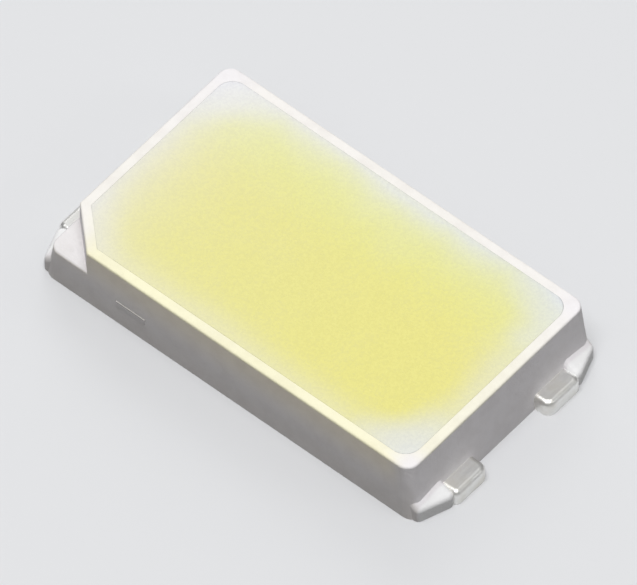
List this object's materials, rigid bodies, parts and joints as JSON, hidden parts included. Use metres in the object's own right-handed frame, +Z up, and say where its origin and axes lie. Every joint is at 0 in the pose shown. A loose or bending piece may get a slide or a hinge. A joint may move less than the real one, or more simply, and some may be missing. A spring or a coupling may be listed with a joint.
{
  "type": "smd led",
  "caption": "Surface-mount light-emitting diode: white moulded reflector housing on a silver-plated lead frame with flat end ears, its cavity filled with yellow phosphor silicone.",
  "frame": {"origin": "centre of the underside, on the solder plane", "axes": "+X along the package from the cathode end, which has the corner notch, to the anode end; +Y across it; +Z up, the way it emits light"},
  "size_m": [0.0056, 0.003, 0.0008],
  "materials": {
    "white_plastic": "moulded, matt",
    "silver_plating": "copper alloy with bright silver plating",
    "phosphor_silicone": "smooth, soft gloss",
    "chip": "polished",
    "adhesive": "smooth",
    "gold": "bright"
  },
  "bodies": {
    "root": {"housing": "white_plastic", "anode_lead": "silver_plating", "cathode_lead": "silver_plating", "phosphor_encapsulant": "phosphor_silicone", "led_die": "chip", "die_attach": "adhesive", "bond_wire_anode": "gold", "bond_wire_cathode": "gold"}
  },
  "joints": []
}
